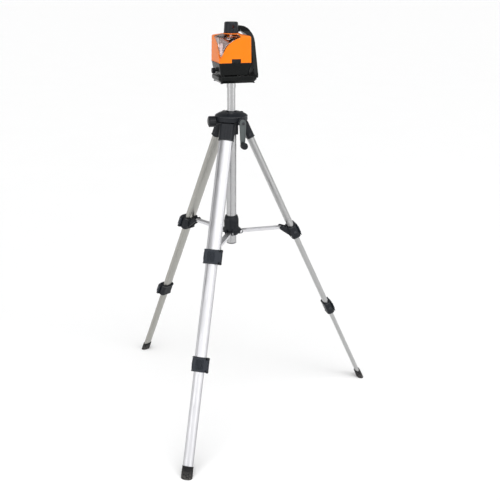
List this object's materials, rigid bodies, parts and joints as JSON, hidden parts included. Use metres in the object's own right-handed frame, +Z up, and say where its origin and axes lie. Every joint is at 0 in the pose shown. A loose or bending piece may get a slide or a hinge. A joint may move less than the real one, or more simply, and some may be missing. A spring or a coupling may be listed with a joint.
{
  "type": "laser level on tripod",
  "caption": "Rotating laser level in a boxy housing with a corner window, held by a moulded bracket on a geared-column folding tripod with telescopic oval legs.",
  "frame": {"origin": "on the floor, at the centre of the footprint box; the column stands 90.5 mm behind it", "axes": "+Z up along the column, -Y towards the front leg, +X to the right as seen from the front"},
  "size_m": [0.6586, 0.574, 0.9502],
  "materials": {
    "moulding": "moulded glass-filled nylon, satin",
    "lever": "moulded nylon, semi-gloss",
    "leg_tube": "silver anodised extrusion, satin",
    "foot_rubber": "moulded rubber, dull",
    "strut": "pressed channel, satin",
    "column": "drawn tube, bright anodised",
    "bush": "acetal, satin",
    "steel": "turned, bright",
    "crank": "die-cast, grey enamel",
    "knob": "moulded, semi-gloss",
    "laser_base": "moulded polycarbonate blend, satin charcoal",
    "laser_shell": "moulded, glossy orange",
    "window": "clear acrylic with a warm tint, polished",
    "reflector": "vacuum metallised",
    "vial": "clear acrylic with tinted fluid",
    "laser_head": "moulded, satin charcoal",
    "switch": "moulded, semi-gloss",
    "battery": "plain sleeve",
    "board": "solder resist",
    "brass": "turned"
  },
  "bodies": {
    "root": {"shoulder": "moulding", "leg_pivot_pins": "steel", "column_bushes": "bush", "outer_tube": "column", "tube_end_plug": "moulding"},
    "crank": {"crank_shaft": "steel", "crank_arm": "crank"},
    "crank_grip": {"crank_grip": "knob"},
    "column_lock": {"column_lock_knob": "knob"},
    "column": {"column_tube": "column", "column_rack": "steel", "head_platform": "column", "tripod_screw": "steel"},
    "hub": {"brace_hub": "moulding", "hub_pins": "steel"},
    "strut_front": {"brace_strut_front": "strut"},
    "strut_right": {"brace_strut_right": "strut"},
    "strut_left": {"brace_strut_left": "strut"},
    "leg_front": {"leg_socket_front": "moulding", "upper_tube_front": "leg_tube", "upper_lock_collar_front": "moulding"},
    "upper_lever_front": {"upper_lock_lever_front": "lever"},
    "leg_front_middle": {"middle_tube_front": "leg_tube", "lower_lock_collar_front": "moulding"},
    "lower_lever_front": {"lower_lock_lever_front": "lever"},
    "leg_front_lower": {"lower_tube_front": "leg_tube", "foot_front": "foot_rubber"},
    "leg_right": {"leg_socket_right": "moulding", "upper_tube_right": "leg_tube", "upper_lock_collar_right": "moulding"},
    "upper_lever_right": {"upper_lock_lever_right": "lever"},
    "leg_right_middle": {"middle_tube_right": "leg_tube", "lower_lock_collar_right": "moulding"},
    "lower_lever_right": {"lower_lock_lever_right": "lever"},
    "leg_right_lower": {"lower_tube_right": "leg_tube", "foot_right": "foot_rubber"},
    "leg_left": {"leg_socket_left": "moulding", "upper_tube_left": "leg_tube", "upper_lock_collar_left": "moulding"},
    "upper_lever_left": {"upper_lock_lever_left": "lever"},
    "leg_left_middle": {"middle_tube_left": "leg_tube", "lower_lock_collar_left": "moulding"},
    "lower_lever_left": {"lower_lock_lever_left": "lever"},
    "leg_left_lower": {"lower_tube_left": "leg_tube", "foot_left": "foot_rubber"},
    "laser": {"mount_bracket": "laser_base", "base_housing": "laser_base", "batteries": "battery", "circuit_board": "board", "housing_shell": "laser_shell", "corner_window": "window", "optics_chassis": "reflector", "level_vials": "vial", "laser_module": "brass", "drive_motor": "steel"},
    "battery_door": {"battery_door": "laser_base"},
    "rotor": {"rotor_head": "laser_head", "rotor_shaft": "steel"},
    "side_knob": {"side_knob": "knob"},
    "power_switch": {"power_switch": "switch"}
  },
  "joints": [
    {"name": "column_slide", "type": "slide", "parent": "root", "child": "column", "axis": [0, 0, 1], "range_m": [-0.046, 0.17]},
    {"name": "crank_turn", "type": "hinge", "parent": "root", "child": "crank", "pos_m": [0.00933, 0.09629, 0.732], "axis": [0.5299, -0.848, 0], "range_deg": [-2450, 680]},
    {"name": "crank_grip_spin", "type": "hinge", "parent": "crank", "child": "crank_grip", "pos_m": [0.00933, 0.09629, 0.682], "axis": [0.5299, -0.848, 0], "continuous": true},
    {"name": "column_lock_turn", "type": "hinge", "parent": "root", "child": "column_lock", "pos_m": [0, 0.09046, 0.729], "axis": [-0.866, -0.5, 0], "range_deg": [0, 180]},
    {"name": "leg_fold_front", "type": "hinge", "parent": "root", "child": "leg_front", "pos_m": [0, 0.06546, 0.7323], "axis": [1, 0, 0], "range_deg": [0, 20]},
    {"name": "leg_fold_right", "type": "hinge", "parent": "root", "child": "leg_right", "pos_m": [0.02165, 0.10296, 0.7323], "axis": [-0.5, 0.866, 0], "range_deg": [0, 20]},
    {"name": "leg_fold_left", "type": "hinge", "parent": "root", "child": "leg_left", "pos_m": [-0.02165, 0.10296, 0.7323], "axis": [-0.5, -0.866, 0], "range_deg": [0, 20]},
    {"name": "hub_slide", "type": "slide", "parent": "root", "child": "hub", "axis": [0, 0, 1], "range_m": [0, 0.09]},
    {"name": "strut_hinge_front", "type": "hinge", "parent": "hub", "child": "strut_front", "pos_m": [0, 0.06846, 0.4576], "axis": [1, 0, 0], "range_deg": [0, 92.5]},
    {"name": "strut_hinge_right", "type": "hinge", "parent": "hub", "child": "strut_right", "pos_m": [0.01905, 0.10146, 0.4576], "axis": [-0.5, 0.866, 0], "range_deg": [0, 92.5]},
    {"name": "strut_hinge_left", "type": "hinge", "parent": "hub", "child": "strut_left", "pos_m": [-0.01905, 0.10146, 0.4576], "axis": [-0.5, -0.866, 0], "range_deg": [0, 92.5]},
    {"name": "middle_slide_front", "type": "slide", "parent": "leg_front", "child": "leg_front_middle", "axis": [0, 0.4247, 0.9053], "range_m": [0, 0.2]},
    {"name": "lower_slide_front", "type": "slide", "parent": "leg_front_middle", "child": "leg_front_lower", "axis": [0, 0.4247, 0.9053], "range_m": [0, 0.2]},
    {"name": "upper_lever_flip_front", "type": "hinge", "parent": "leg_front", "child": "upper_lever_front", "pos_m": [0.02215, -0.07587, 0.45066], "axis": [0, 0.4247, 0.9053], "range_deg": [0, 120]},
    {"name": "lower_lever_flip_front", "type": "hinge", "parent": "leg_front_middle", "child": "lower_lever_front", "pos_m": [0.02015, -0.17775, 0.23005], "axis": [0, 0.4247, 0.9053], "range_deg": [0, 120]},
    {"name": "middle_slide_right", "type": "slide", "parent": "leg_right", "child": "leg_right_middle", "axis": [-0.3678, -0.2123, 0.9053], "range_m": [0, 0.2]},
    {"name": "lower_slide_right", "type": "slide", "parent": "leg_right_middle", "child": "leg_right_lower", "axis": [-0.3678, -0.2123, 0.9053], "range_m": [0, 0.2]},
    {"name": "upper_lever_flip_right", "type": "hinge", "parent": "leg_right", "child": "upper_lever_right", "pos_m": [0.13297, 0.19281, 0.45066], "axis": [-0.3678, -0.2123, 0.9053], "range_deg": [0, 120]},
    {"name": "lower_lever_flip_right", "type": "hinge", "parent": "leg_right_middle", "child": "lower_lever_right", "pos_m": [0.22221, 0.24202, 0.23005], "axis": [-0.3678, -0.2123, 0.9053], "range_deg": [0, 120]},
    {"name": "middle_slide_left", "type": "slide", "parent": "leg_left", "child": "leg_left_middle", "axis": [0.3678, -0.2123, 0.9053], "range_m": [0, 0.2]},
    {"name": "lower_slide_left", "type": "slide", "parent": "leg_left_middle", "child": "leg_left_lower", "axis": [0.3678, -0.2123, 0.9053], "range_m": [0, 0.2]},
    {"name": "upper_lever_flip_left", "type": "hinge", "parent": "leg_left", "child": "upper_lever_left", "pos_m": [-0.15512, 0.15445, 0.45066], "axis": [0.3678, -0.2123, 0.9053], "range_deg": [0, 120]},
    {"name": "lower_lever_flip_left", "type": "hinge", "parent": "leg_left_middle", "child": "lower_lever_left", "pos_m": [-0.24236, 0.20712, 0.23005], "axis": [0.3678, -0.2123, 0.9053], "range_deg": [0, 120]},
    {"name": "laser_pan", "type": "hinge", "parent": "column", "child": "laser", "pos_m": [0, 0.09046, 0.8186], "axis": [0, 0, 1], "continuous": true},
    {"name": "battery_door_hinge", "type": "hinge", "parent": "laser", "child": "battery_door", "pos_m": [-0.01777, 0.11804, 0.84185], "axis": [-0.8406, -0.5417, 0], "range_deg": [0, 100]},
    {"name": "rotor_spin", "type": "hinge", "parent": "laser", "child": "rotor", "pos_m": [0, 0.09046, 0.9262], "axis": [0, 0, 1], "continuous": true},
    {"name": "side_knob_turn", "type": "hinge", "parent": "laser", "child": "side_knob", "pos_m": [-0.03544, 0.07715, 0.8436], "axis": [-0.8406, -0.5417, 0], "range_deg": [0, 90]},
    {"name": "power_switch_slide", "type": "slide", "parent": "laser", "child": "power_switch", "axis": [0.8406, 0.5417, 0], "range_m": [0, 0.008]}
  ],
  "couplings": [
    {"joint": "crank_turn", "follows": "column_slide", "rad_per_m": -250},
    {"joint": "leg_fold_right", "follows": "leg_fold_front", "ratio": 1},
    {"joint": "leg_fold_left", "follows": "leg_fold_front", "ratio": 1},
    {"joint": "hub_slide", "follows": "leg_fold_front", "m_per_rad": 0.2521},
    {"joint": "strut_hinge_front", "follows": "leg_fold_front", "ratio": 4.6},
    {"joint": "strut_hinge_right", "follows": "leg_fold_front", "ratio": 4.6},
    {"joint": "strut_hinge_left", "follows": "leg_fold_front", "ratio": 4.6}
  ]
}
